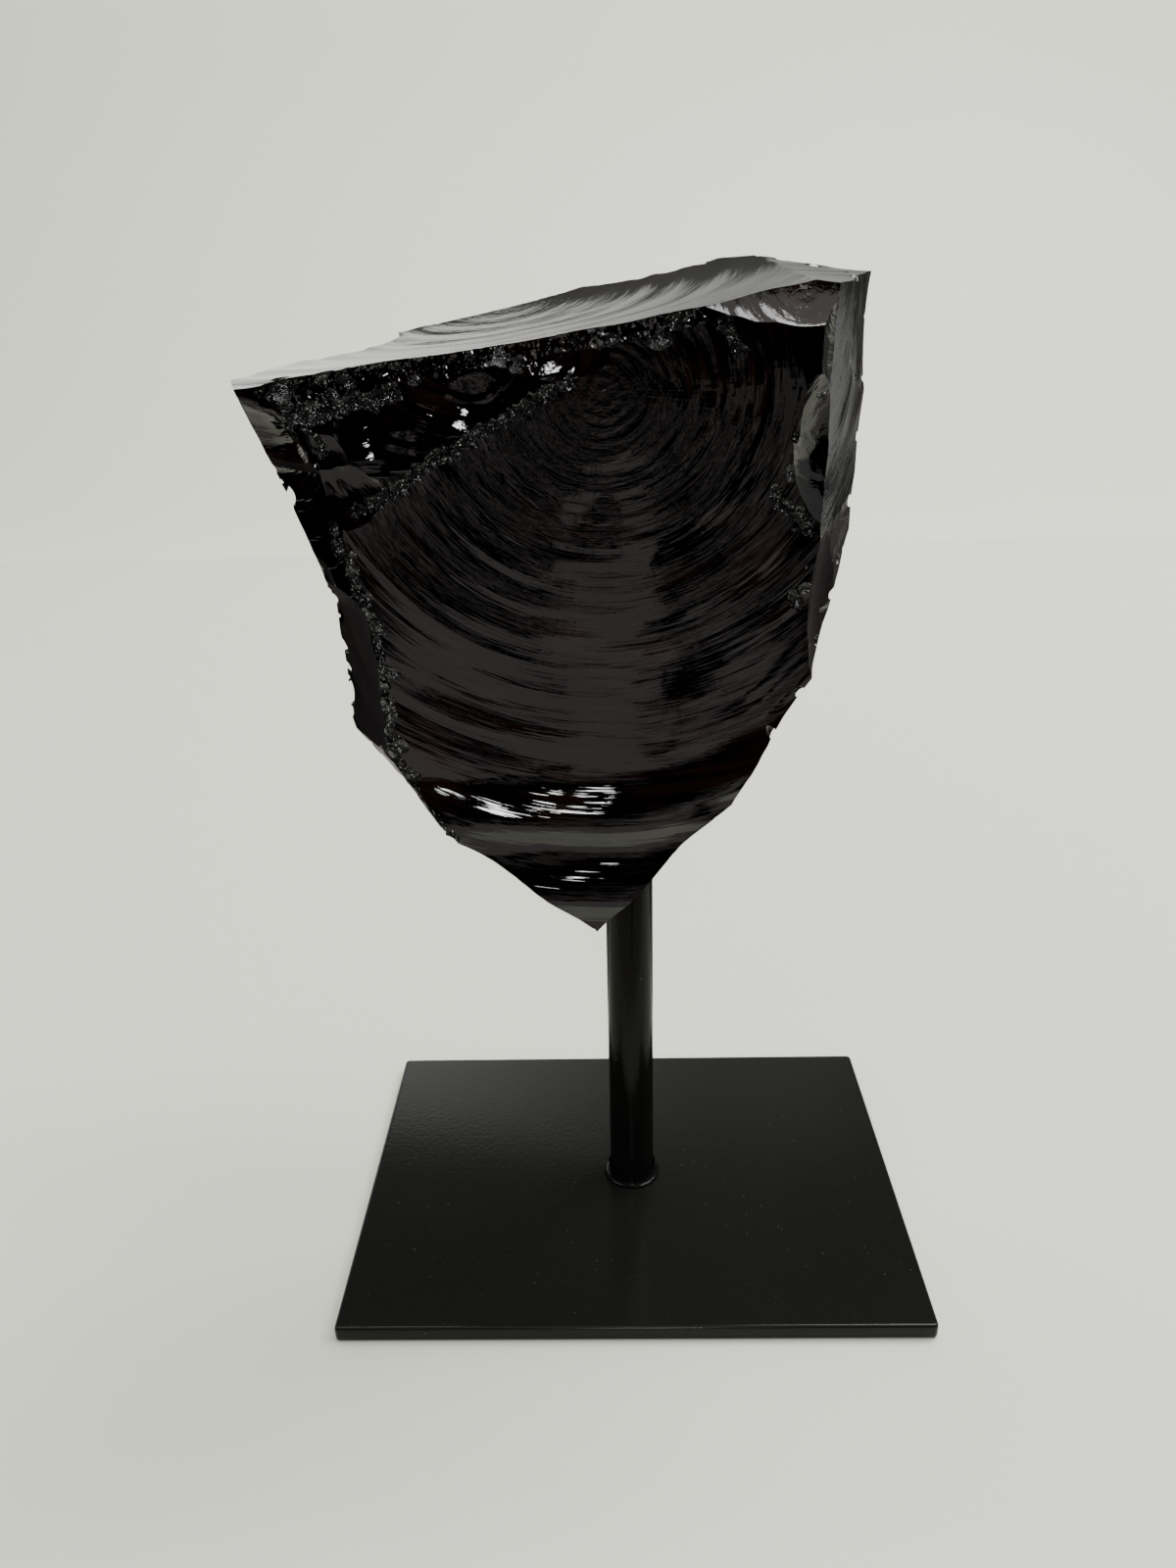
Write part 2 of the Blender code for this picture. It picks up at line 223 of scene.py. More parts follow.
# The stone. A rough block loses one flake after another, as in the frame's own solid, but in finer cells.
# Each scar has "at", the dish's middle, "facing", its azimuth and elevation where azimuth 0 is towards -Y,
# "reach", its sheet's half width and half height, "cell", the mesh cell, "dish", its depth, half width and
# half height, "struck", the point hit, measured on the sheet, and "ripple", its height, wavelength and waver.
# "ledge", "lip" and "foot" turn the sheet out of the stone below or above that distance from its middle.

stoneValues = {
    "blockLow": (-62, -30, 54),
    "blockHigh": (48, 36, 174),
    "blockSpare": 1.5,
    "frontSpare": 9.5,
    "flakeThickness": 34,
    "rimRise": 0.3,
    "boreAt": (0.3, 0.4),
    "boreRadius": 4.45,
    "boreTop": 92.5,
    "creaseHeight": 90.5,
    "creaseMiddle": -4,
    "creaseClimb": 0.015,
    "lowerLean": 0.18,
    "waveSlope": 0.33,
    "waveLength": 13,
    "waveStart": 3.5,
    "rippleShare": 0.6,
    "ringWander": (0.7, 9.0),  # how far the rings stray, and over what length
    "ringsFrom": (4, 14),  # the uneven rings start this far from the struck point and grow over this length
    "cleanRings": (0.026, 32, 1.5, 0.012),  # height, reach, spacing and how the spacing grows with distance
    "drape": (0.16, 5.5),  # slanting waves at the lower right: height and spacing
    "swirls": (0.05, 3.0),  # small turns that break up the glints under the crease: height and size
    "sharpAngle": 24,
}

bigScars = {
    "front": {"at": (-3, -15.6, 108), "facing": (0, -6), "reach": (60, 66), "cell": 0.45,
              "dish": (1.2, 44, 52), "struck": (0.2, 40.5), "ripple": (0.05, 6.4, 0.8)},
    "top": {"at": (-5, 4, 159.9), "facing": (-45.7, 77.9), "reach": (62, 40), "cell": 0.8, "up": (0, 1, 0),
            "dish": (2.0, 46, 26), "struck": (-14, 18), "ripple": (0.12, 6.0, 1.0)},
    "topRight": {"at": (28, 2, 163.6), "facing": (41, 81), "reach": (34, 40), "cell": 0.9, "up": (0, 1, 0),
                 "dish": (0.7, 18, 22), "struck": (10, -16), "ripple": (0.08, 6.0, 1.0)},
    "right": {"at": (31.2, -9.5, 132), "facing": (70, -0.5), "reach": (36, 50), "cell": 0.9,
              "dish": (0.9, 22, 34), "struck": (-6, 28), "ripple": (0.10, 6.5, 1.0)},
    "bottomRightUpper": {"at": (21.8, -14.7, 95.5), "facing": (98, -29), "reach": (42, 34), "cell": 1.2,
                         "dish": (0.6, 26, 15), "struck": (-10, 10), "ripple": (0.10, 7.0, 1.0)},
    "bottomRightLower": {"at": (5.4, -14.9, 75.0), "facing": (112, -42.5), "reach": (44, 36), "cell": 1.2,
                         "dish": (0.5, 26, 18), "struck": (-8, -6), "ripple": (0.08, 7.0, 1.0)},
    "bottomLeftLower": {"at": (-14.5, -15.2, 70.9), "facing": (-112, -52), "reach": (40, 34), "cell": 1.2,
                        "dish": (0.5, 24, 14), "struck": (8, -6), "ripple": (0.08, 7.0, 1.0)},
    "bottomLeftBack": {"at": (-35, -2, 86), "facing": (-122, -34), "reach": (42, 34), "cell": 1.2,
                       "dish": (0.8, 24, 12), "struck": (10, 4), "ripple": (0.10, 6.5, 1.0)},
    "leftLow": {"at": (-36.9, -8.7, 89.3), "facing": (-61, -29), "reach": (34, 26), "cell": 0.9,
                "dish": (0.6, 15, 9), "struck": (6, 8), "ripple": (0.08, 6.0, 1.0)},
    "left": {"at": (-41.2, -9.3, 104.9), "facing": (-57.5, -2.7), "reach": (34, 34), "cell": 0.9,
             "dish": (0.9, 13, 13), "struck": (8, 12), "ripple": (0.10, 6.5, 1.0), "lip": (13, 0.65)},
    "leftBack": {"at": (-43.8, 1.8, 104), "facing": (-113, 1), "reach": (36, 38), "cell": 1.2,
                 "dish": (0.8, 16, 14), "struck": (8, 10), "ripple": (0.10, 6.5, 1.0), "lip": (14, 0.65)},
    "leftFront": {"at": (-45.1, -14.7, 132), "facing": (-41, -10.4), "reach": (34, 34), "cell": 0.8,
                  "dish": (0.9, 12, 15), "struck": (-4, 14), "ripple": (0.08, 5.0, 1.0), "lip": (6.5, 0.62)},
    "leftRim": {"at": (-49.4, -8, 132), "facing": (-73, -19), "reach": (22, 30), "cell": 1.0,
                "dish": (0.4, 10, 15), "struck": (-4, 14), "ripple": (0.08, 5.0, 1.0), "foot": (12, 0.6)},
    "leftUpper": {"at": (-47.6, -4.2, 139.5), "facing": (-123, -12), "reach": (40, 46), "cell": 1.0,
                  "dish": (0.9, 18, 20), "struck": (-10, 4), "ripple": (0.10, 6.5, 1.0), "foot": (18, 0.45)},
    "backLeft": {"at": (-18, 21, 150), "facing": (-163, -9.6), "reach": (62, 92), "cell": 1.2,
                 "dish": (1.0, 34, 60), "struck": (-6, 6), "ripple": (0.16, 8.5, 1.2)},
    "backRight": {"at": (23, 19, 150), "facing": (148, -10.5), "reach": (52, 92), "cell": 1.2,
                  "dish": (1.0, 24, 60), "struck": (6, 8), "ripple": (0.16, 8.0, 1.2)},
    "backLow": {"at": (0, 13, 84), "facing": (178, -38), "reach": (56, 50), "cell": 1.2,
                "dish": (1.0, 32, 20), "struck": (4, 14), "ripple": (0.14, 7.5, 1.2)},
}

smallScars = {
    "leftBackNotch": {"at": (-45.0, 4.5, 151.6), "facing": (-150, 34), "reach": (14, 16), "cell": 0.8,
                      "dish": (2.0, 8.0, 10), "struck": (0, 9), "ripple": (0.10, 4.0, 0.6)},
    "backHigh": {"at": (4, 26.5, 150), "facing": (176, 4), "reach": (30, 26), "cell": 1.0,
                 "dish": (3.4, 17, 17), "struck": (-4, 15), "ripple": (0.14, 6.0, 0.8)},
    "backMiddle": {"at": (-20, 16.0, 122), "facing": (-170, -16), "reach": (26, 28), "cell": 1.0,
                   "dish": (2.8, 16, 18), "struck": (8, 14), "ripple": (0.14, 6.0, 0.8)},
    "backSide": {"at": (22, 13.0, 112), "facing": (142, -18), "reach": (22, 26), "cell": 1.0,
                 "dish": (2.4, 12, 17), "struck": (-4, 13), "ripple": (0.14, 6.0, 0.8)},
    "backStep": {"at": (-37.5, 22.0, 156.0), "facing": (-150, 12), "reach": (9, 9), "cell": 0.8,
                 "dish": (1.6, 6.0, 5.0), "struck": (0, 5), "ripple": (0.08, 3.6, 0.6)},
    "longStep": {"at": (-24.0, -20.0, 146.0), "facing": (-2, 0), "reach": (24, 15), "cell": 0.45,
                 "up": (-0.469, 0, 0.883), "dish": (1.5, 21, 20), "struck": (6, 9),
                 "ripple": (0.05, 3.0, 0.4), "ledge": (4.9, 2.6)},
    "leftScoop": {"at": (-47.6, -18.4, 142.4), "facing": (-45, -24), "reach": (11, 11), "cell": 0.45,
                  "dish": (2.6, 6.6, 6.4), "struck": (-2, 6), "ripple": (0.10, 2.8, 0.4)},
    "stepGrey": {"at": (-34.6, -18.9, 142.0), "facing": (-3, -9), "reach": (7, 10), "cell": 0.4,
                 "dish": (0.25, 3.0, 5.0), "struck": (0, 7), "ripple": (0.03, 2.8, 0.4), "ledge": (4.6, 2.0)},
    "stepWedge": {"at": (-38.6, -18.6, 143.4), "facing": (30, 5), "reach": (5, 8), "cell": 0.4,
                  "dish": (0.3, 2.4, 5.0), "struck": (0, 6), "ripple": (0.02, 2.8, 0.4), "ledge": (3.6, 1.4)},
    "stepBowl": {"at": (-29.2, -18.9, 142.6), "facing": (-4, -8), "reach": (6, 9), "cell": 0.4,
                 "dish": (0.7, 3.4, 5.4), "struck": (1, 7), "ripple": (0.06, 2.6, 0.4), "ledge": (4.4, 2.0)},
    "stepSliver": {"at": (-27.2, -19.3, 147.0), "facing": (-14, -10), "reach": (4, 7), "cell": 0.4,
                   "dish": (0.2, 1.6, 4.4), "struck": (0, 5), "ripple": (0.02, 2.6, 0.4)},
    "stepArcs": {"at": (-21.6, -19.2, 146.6), "facing": (3, 2), "reach": (9, 9), "cell": 0.4,
                 "dish": (1.1, 5.6, 5.0), "struck": (1, 6), "ripple": (0.09, 2.2, 0.4), "ledge": (3.8, 2.0)},
    "stepEnd": {"at": (-10.8, -20.2, 151.8), "facing": (6, 8), "reach": (9, 6), "cell": 0.45,
                "dish": (1.1, 7.0, 3.6), "struck": (0, 3), "ripple": (0.06, 2.2, 0.4)},
    "shelf": {"at": (-38.2, -19.2, 138.4), "facing": (-16, 34), "reach": (5, 4), "cell": 0.4,
              "dish": (0.4, 3.2, 1.4), "struck": (0, 2), "ripple": (0.03, 2.0, 0.4)},
    "underSteps": {"at": (-36.6, -18.4, 135.4), "facing": (-12, -6), "reach": (8, 7), "cell": 0.45,
                   "dish": (1.0, 5.4, 4.4), "struck": (4, 5), "ripple": (0.10, 2.6, 0.4)},
    "topLip": {"at": (22.0, -20.2, 157.8), "facing": (6, 38), "reach": (12, 6), "cell": 0.5,
               "dish": (0.7, 11, 4.6), "struck": (2, 4), "ripple": (0.08, 3.0, 0.4)},
    "rightStrip": {"at": (28.6, -18.0, 151.5), "facing": (42, 0), "reach": (6, 12), "cell": 0.5,
                   "dish": (0.9, 3.2, 8.5), "struck": (1, 8), "ripple": (0.06, 3.4, 0.4)},
    "rightLens": {"at": (26.2, -18.0, 137.8), "facing": (34, 3), "reach": (9, 12), "cell": 0.5,
                  "dish": (1.7, 5.8, 8.4), "struck": (4, 6), "ripple": (0.08, 3.6, 0.4)},
    "rightUpper": {"at": (34.6, -2.0, 149), "facing": (76, 8), "reach": (16, 16), "cell": 0.7,
                   "dish": (0.8, 10, 10), "struck": (-4, 9), "ripple": (0.10, 4.6, 0.6)},
    "rightTwist": {"at": (33.6, -5.0, 136.0), "facing": (66, -12), "reach": (14, 10), "cell": 0.7,
                   "dish": (1.2, 9, 5.2), "struck": (5, 4), "ripple": (0.10, 4.0, 0.6)},
    "rightLower": {"at": (30.4, -9.0, 119), "facing": (62, -4), "reach": (13, 15), "cell": 0.7,
                   "dish": (1.1, 8, 10), "struck": (2, 9), "ripple": (0.08, 4.4, 0.6)},
    "cornerBite": {"at": (24.8, -15.0, 99.0), "facing": (64, -28), "reach": (7, 7), "cell": 0.5,
                   "dish": (1.0, 4.4, 3.6), "struck": (0, 3), "ripple": (0.06, 2.8, 0.4)},
    "lowRightBite": {"at": (9.8, -14.6, 78.6), "facing": (60, -44), "reach": (7, 6), "cell": 0.5,
                     "dish": (0.9, 5.0, 4.0), "struck": (0, 3), "ripple": (0.06, 2.8, 0.4)},
    "tipSliver": {"at": (-16.1, -17.0, 69.3), "facing": (-62, -22), "reach": (5, 11), "cell": 0.5,
                  "up": (-0.72, 0, 0.69), "dish": (1.2, 2.6, 8.0), "struck": (0, 6),
                  "ripple": (0.04, 2.8, 0.4)},
    "leftBiteHigh": {"at": (-44.4, -13.0, 122.0), "facing": (-58, -10), "reach": (7, 7), "cell": 0.5,
                     "dish": (1.2, 4.2, 4.6), "struck": (0, 4), "ripple": (0.08, 2.8, 0.4)},
    "leftBiteMiddle": {"at": (-41.6, -11.8, 111.6), "facing": (-50, 4), "reach": (7, 8), "cell": 0.5,
                       "dish": (1.1, 4.4, 4.8), "struck": (0, 4), "ripple": (0.08, 2.8, 0.4)},
    "leftBiteLow": {"at": (-38.2, -12.6, 93.4), "facing": (-52, -14), "reach": (7, 7), "cell": 0.5,
                    "dish": (1.1, 4.2, 4.6), "struck": (0, 4), "ripple": (0.08, 2.8, 0.4)},
}


def facingDirection(azimuth, elevation):
    a = math.radians(azimuth)
    e = math.radians(elevation)
    return Vector((math.sin(a) * math.cos(e), -math.cos(a) * math.cos(e), math.sin(e)))


def scarFrame(scar):  # the scar's middle, and its right, up and outward directions
    outward = facingDirection(*scar["facing"])
    right = Vector(scar.get("up", (0, 0, 1))).cross(outward).normalized()
    return Vector(scar["at"]), right, outward.cross(right), outward


def noiseOver(x, y, seed, size):  # smooth noise, -1 to 1, with bumps about "size" across
    return np.array([noise.noise(Vector((a / size, b / size, seed))) for a, b in zip(x, y)])


def dishHeight(across, along, dish, levelsOff):
    depth, halfWidth, halfHeight = dish
    share = (across / halfWidth) ** 2 + (along / halfHeight) ** 2
    bowl = depth * (share - 1)
    if not levelsOff:
        return bowl + 0.05 * depth * noiseOver(across, along, depth, 1.6)
    rise = stoneValues["rimRise"]
    return np.where(share <= 1, bowl, depth * rise * (1 - np.exp(-np.maximum(share - 1, 0) / rise)))


def rippleHeight(across, along, scar, seed):
    height, wavelength, waver = scar["ripple"]
    fromX = across - scar["struck"][0]
    fromY = along - scar["struck"][1]
    distance = np.hypot(fromX, fromY)
    wander = waver * noiseOver(fromX, fromY, seed, 11.1)
    growth = np.minimum(1, distance / (3 * wavelength))
    waves = np.sin(2 * math.pi * (distance + wander) / wavelength)
    return stoneValues["rippleShare"] * height * growth * waves


ringLayers = {  # (spacing, height, arcs): uneven rings, the more arcs the shorter each one is
    "front": [(3.6, 0.24, 1.0), (1.7, 0.085, 2.5), (0.9, 0.028, 6.0)],
    "other": [(3.0, 0.12, 1.2), (1.5, 0.045, 3.0)],
}


def ringHeight(name, across, along, scar, seed):
    fromX = across - scar["struck"][0]
    fromY = along - scar["struck"][1]
    distance = np.hypot(fromX, fromY)
    turn = np.arctan2(fromX, -fromY)
    tall, reach, spacing, growth = stoneValues["cleanRings"]
    clean = tall * np.exp(-(distance / reach) ** 2)
    clean = clean * np.sin(2 * math.pi * distance / (spacing + growth * distance))
    stray, length = stoneValues["ringWander"]
    distance = distance + stray * noiseOver(fromX, fromY, seed + 5, length)
    total = np.zeros_like(distance)
    for number, (spacing, height, arcs) in enumerate(ringLayers.get(name, ringLayers["other"])):
        own = seed + 3.3 * number
        places = zip(distance / spacing, arcs * np.cos(turn) + own, arcs * np.sin(turn))
        total += height * np.array([noise.noise(Vector(place)) for place in places])
    start, over = stoneValues["ringsFrom"]
    return total * np.clip((distance - start) / over, 0, 1) + clean


def swingHeight(x, z):  # the broad waves under the crease of the front scar
    v = stoneValues
    crease = v["creaseHeight"] + v["creaseClimb"] * np.maximum(0, x - v["creaseMiddle"]) ** 2
    below = np.maximum(0, crease - z)
    swing = v["waveSlope"] * v["waveLength"] / (2 * math.pi)
    phase = 2 * math.pi * v["waveStart"] / v["waveLength"]
    waves = np.sin(2 * math.pi * below / v["waveLength"] - phase) + math.sin(phase)
    return v["lowerLean"] * below + swing * waves


swells = [  # hollows of the front scar: (x, z, half width, half height, lean, depth)
    (12.5, 105, 7.0, 9, 0.4, 0.30),
    (-26, 105, 9, 7, -0.4, 0.75),
    (-12, 121, 8, 6, -0.3, -0.16),
    (14, 124, 6, 10, 0.4, 0.20),
    (3, 131, 5, 14, 0.0, -0.14),
]


def swellHeight(x, z):
    total = np.zeros_like(x)
    for middleX, middleZ, halfWidth, halfHeight, lean, depth in swells:
        across = (x - middleX - lean * (z - middleZ)) / halfWidth
        along = (z - middleZ) / halfHeight
        total -= depth * np.exp(-across ** 2 - along ** 2)
    tall, spacing = stoneValues["drape"]
    lowerRight = np.clip((x - 6) / 12, 0, 1) * np.clip((112 - z) / 8, 0, 1)
    total += tall * lowerRight * np.sin(2 * math.pi * (0.58 * x - 0.81 * z + 1.6 * np.sin(x / 4)) / spacing)
    tall, size = stoneValues["swirls"]
    low = np.clip((95 - z) / 5, 0, 1)
    return total + tall * low * noiseOver(0.5 * x + z, 1.6 * z - 0.3 * x, 41, size)


def scarHeight(name, scar, across, along, seed):
    height = dishHeight(across, along, scar["dish"], name in bigScars)
    height = height + rippleHeight(across, along, scar, seed)
    height = height + ringHeight(name, across, along, scar, seed)
    if name == "front":
        x = scar["at"][0] + across
        z = scar["at"][2] + along
        height = height + swingHeight(x, z) + swellHeight(x, z)
    if "ledge" in scar:
        below, rise = scar["ledge"]
        height = height + rise * np.clip((-along - below) / 0.7, 0, 1)
    if "lip" in scar:
        above, slope = scar["lip"]
        height = height + slope * np.maximum(0, along - above)
    if "foot" in scar:
        below, slope = scar["foot"]
        height = height + slope * np.maximum(0, -along - below)
    return height


def makeFlake(name, scar, number, material):  # the scar's sheet, closed behind by a flat back
    middle, right, up, outward = scarFrame(scar)
    halfWidth, halfHeight = scar["reach"]
    cell = scar["cell"] * coarser
    columns = max(4, round(2 * halfWidth / cell))
    rows = max(4, round(2 * halfHeight / cell))
    across, along = np.meshgrid(np.linspace(-halfWidth, halfWidth, columns + 1),
                                np.linspace(-halfHeight, halfHeight, rows + 1))
    across = across.ravel()
    along = along.ravel()
    height = scarHeight(name, scar, across, along, 7.3 * number)
    axes = [np.array(axis) for axis in (middle, right, up, outward)]

    def place(a, b, h):
        return (axes[0] + np.outer(a, axes[1]) + np.outer(b, axes[2]) + np.outer(h, axes[3])) * mm

    sheet = place(across, along, height)
    index = np.arange((columns + 1) * (rows + 1)).reshape(rows + 1, columns + 1)
    quads = np.stack([index[:-1, :-1], index[1:, :-1], index[1:, 1:], index[:-1, 1:]], -1).reshape(-1, 4)
    rim = np.concatenate([index[0, :-1], index[:-1, -1], index[-1, :0:-1], index[:0:-1, 0]])
    backing = place(across[rim], along[rim], np.full(len(rim), stoneValues["flakeThickness"], float))
    first = len(sheet)
    following = np.roll(np.arange(len(rim)), -1)
    sides = [(rim[i], rim[following[i]], first + following[i], first + i) for i in range(len(rim))]
    back = tuple(first + i for i in range(len(rim)))
    faces = [tuple(quad) for quad in quads.tolist()]
    faces += [tuple(int(i) for i in side) for side in sides] + [back]
    flake = meshObject("flake_" + name, np.concatenate([sheet, backing]).tolist(), faces, material)
    addScarMap(flake.data, across - scar["struck"][0], along - scar["struck"][1], len(quads), number)
    return flake


def addScarMap(mesh, fromX, fromY, quads, number):
    # A map that runs outwards and round from the struck point: (distance, turn + the scar's number)
    loops = np.zeros(len(mesh.loops), int)
    mesh.loops.foreach_get("vertex_index", loops)
    layer = mesh.uv_layers.new(name="scar")
    used = loops[:4 * quads]
    distance = np.hypot(fromX, fromY)[used] / 100
    turn = (np.arctan2(fromX, -fromY) / (2 * math.pi))[used].reshape(-1, 4)
    jump = turn - turn[:, :1]
    turn = np.where(jump > 0.5, turn - 1, np.where(jump < -0.5, turn + 1, turn))
    places = np.zeros((len(mesh.loops), 2))
    places[:4 * quads, 0] = distance
    places[:4 * quads, 1] = turn.ravel() * 0.9 + 0.5 + number
    layer.data.foreach_set("uv", places.ravel())


def makeBlock(material):
    v = stoneValues
    bm = bmesh.new()
    bmesh.ops.create_cube(bm, size=1)
    low = Vector(v["blockLow"])
    size = Vector(v["blockHigh"]) - low
    for vertex in bm.verts:
        share = vertex.co + Vector((0.5, 0.5, 0.5))
        vertex.co = (low + Vector((share.x * size.x, share.y * size.y, share.z * size.z))) * mm
    for name, scar in bigScars.items():
        if "lip" in scar or "foot" in scar:
            continue
        middle, _, _, outward = scarFrame(scar)
        spare = v["frontSpare"] if name == "front" else v["blockSpare"]
        geometry = bm.verts[:] + bm.edges[:] + bm.faces[:]
        bmesh.ops.bisect_plane(bm, geom=geometry, plane_co=(middle + outward * spare) * mm,
                               plane_no=outward, clear_outer=True)
        openEdges = [edge for edge in bm.edges if edge.is_boundary]
        if openEdges:
            bmesh.ops.edgeloop_fill(bm, edges=openEdges)
    bmesh.ops.recalc_face_normals(bm, faces=bm.faces)
    block = solidObject("block", bm, material)
    block.data.uv_layers.new(name="scar")
    return block


def makeBore(material):
    v = stoneValues
    bm = bmesh.new()
    bottom = v["boreTop"] - 60
    middle = Vector((*v["boreAt"], (v["boreTop"] + bottom) / 2)) * mm
    bmesh.ops.create_cone(bm, cap_ends=True, segments=64, radius1=v["boreRadius"] * mm,
                          radius2=v["boreRadius"] * mm, depth=(v["boreTop"] - bottom) * mm,
                          matrix=Matrix.Translation(middle))
    return solidObject("bore", bm, material)


def surfaceOf(obj):
    return BVHTree.FromPolygons([vertex.co for vertex in obj.data.vertices],
                                [polygon.vertices for polygon in obj.data.polygons])


def onFront(surface, path, out):  # the path's (x, z) points, laid on the stone from the front
    points = []
    for x, z in path:
        hit = surface.ray_cast(Vector((x, -60, z)) * mm, Vector((0, 1, 0)))[0]
        if hit:
            points.append(hit / mm - Vector((0, out, 0)))
    return points


# Crushed edges: a rough tube of many small facets follows an edge and bites it

crushValues = {
    "topRim": {"path": [(-49.5, 147.9), (-44, 149.2), (-38, 150.2), (-31, 151.2), (-24, 152.2),
                        (-17, 153.4), (-10, 154.4), (-3, 155.5), (4, 156.6), (11, 157.7)],
               "radius": 1.5, "out": 0.3, "facet": 0.8, "depth": 0.7, "step": 0.32},
    "underRim": {"path": [(-46.5, 146.6), (-42, 146.4), (-38.5, 147.4), (-34, 147.6), (-30, 149.2)],
                 "radius": 1.5, "out": 0.4, "facet": 0.9, "depth": 0.8, "step": 0.34},
    "ledge": {"path": [(-38.8, 132.6), (-35.5, 134.0), (-33.2, 135.2), (-31.0, 136.0),
                       (-28.6, 138.4), (-25.8, 140.2), (-22.5, 141.4), (-20, 143.4),
                       (-16, 145.0), (-12, 147.4), (-6.5, 150.0)],
              "radius": 1.0, "out": 0.1, "facet": 0.8, "depth": 0.8, "step": 0.30},
    "leftEdge": {"path": [(-41.4, 131), (-40.3, 126), (-38.6, 121), (-37.2, 114.5), (-36.2, 107),
                          (-36.5, 97), (-34.8, 90), (-28.8, 81.6), (-22.6, 75.2)],
                 "radius": 0.95, "out": 0.2, "facet": 1.1, "depth": 1.0, "step": 0.34},
    "lipEnd": {"path": [(12.6, 157.6), (13.4, 156.0), (14.6, 154.2), (15.6, 152.6)],
               "radius": 0.9, "out": 0.2, "facet": 0.8, "depth": 0.7, "step": 0.32},
    "rightLow": {"path": [(28.4, 107), (27.4, 105), (26.4, 102.6), (24.4, 100.4), (22.6, 98)],
                 "radius": 0.6, "out": 0.0, "facet": 0.6, "depth": 0.5, "step": 0.30},
    "rightEdge": {"path": [(21.0, 134.8), (21.6, 132.8), (24.5, 131.2), (26.4, 128.0)],
                  "radius": 0.9, "out": 0.1, "facet": 0.7, "depth": 0.6, "step": 0.34},
    "scoopEdge": {"path": [(-48.5, 144.6), (-45.5, 144.8), (-43, 144.2), (-41.5, 142.6), (-41.8, 140.2)],
                  "radius": 0.6, "out": 0.0, "facet": 0.6, "depth": 0.5, "step": 0.30},
}


def openTree(tree, inputs):  # names the tree's inputs and returns its net and its input node
    for name, kind in inputs.items():
        tree.interface.new_socket(name, in_out="INPUT", socket_type="NodeSocket" + kind)
    tree.interface.new_socket("Geometry", in_out="OUTPUT", socket_type="NodeSocketGeometry")
    net = Net(tree)
    return net, net.add("NodeGroupInput")


def closeTree(net, geometry, material):  # real geometry with its material, as the tree's result
    real = net.add("GeometryNodeRealizeInstances", {}, {"Geometry": geometry})
    painted = net.add("GeometryNodeSetMaterial", {}, {"Geometry": real, "Material": material})
    net.add("NodeGroupOutput", {}, {"Geometry": painted})


def crushTree():
    tree = bpy.data.node_groups.new("crushedEdge", "GeometryNodeTree")
    net, group = openTree(tree, {"Geometry": "Geometry", "Radius": "Float", "Facet": "Float",
                                 "Depth": "Float", "Step": "Float", "Seed": "Float",
                                 "Material": "Material"})
    curve = net.add("GeometryNodeResampleCurve", {"mode": "LENGTH"},
                    {"Curve": group.of("Geometry"), "Length": group.of("Step")})
    around = net.math("CEIL", group.of("Radius") * (2 * math.pi) / group.of("Step"))
    profile = net.add("GeometryNodeCurvePrimitiveCircle", {},
                      {"Resolution": around, "Radius": group.of("Radius")})
    tube = net.add("GeometryNodeCurveToMesh", {},
                   {"Curve": curve, "Profile Curve": profile, "Fill Caps": True})
    position = net.add("GeometryNodeInputPosition")
    moved = net.vector("ADD", {0: position, 1: group.of("Seed")})
    cells = net.add("ShaderNodeTexVoronoi", {"feature": "F1"},
                    {"Vector": moved, "Scale": 1 / group.of("Facet"), "Randomness": 1.0})
    lean = net.vector("SUBTRACT", {0: cells.of("Color"), 1: (0.5, 0.5, 0.5)})
    inCell = net.vector("SUBTRACT", {0: moved, 1: cells.of("Position")})
    tilt = net.vector("DOT_PRODUCT", {0: lean, 1: inCell}).of("Value")
    level = net.add("ShaderNodeSeparateXYZ", {}, {0: lean})
    height = level * group.of("Depth") + tilt * 1.2
    normal = net.add("GeometryNodeInputNormal")
    offset = net.vector("SCALE", {0: normal, "Scale": height})
    rough = net.add("GeometryNodeSetPosition", {}, {"Geometry": tube, "Offset": offset})
    closeTree(net, rough, group.of("Material"))
    return tree


def polyCurve(name, points):
    data = bpy.data.curves.new(name, "CURVE")
    data.dimensions = "3D"
    spline = data.splines.new("POLY")
    spline.points.add(len(points) - 1)
    for target, point in zip(spline.points, points):
        target.co = (*(Vector(point) * mm), 1)
    curve = bpy.data.objects.new(name, data)
    bpy.context.collection.objects.link(curve)
    return curve


def growAlong(curve, tree, values, name):  # runs a node tree on a curve and returns its plain mesh
    modifier = curve.modifiers.new(tree.name, "NODES")
    modifier.node_group = tree
    for item in tree.interface.items_tree:
        if item.in_out == "INPUT" and item.name in values:
            modifier[item.identifier] = values[item.name]
    grown = asMesh(curve, name)
    bpy.data.objects.remove(curve)
    return grown


def crushedTubes(surface, material):
    tree = crushTree()
    tubes = []
    for number, (name, v) in enumerate(crushValues.items()):
        curve = polyCurve(name, onFront(surface, v["path"], v["out"]))
        values = {"Radius": v["radius"] * mm, "Facet": v["facet"] * mm, "Depth": v["depth"] * mm,
                  "Step": v["step"] * coarser * mm, "Seed": 0.37 * (number + 1), "Material": material}
        tubes.append(growAlong(curve, tree, values, "crush_" + name))
    return tubes


# Small chips along the edges: squashed balls scattered on a path, each leaves a small hollow

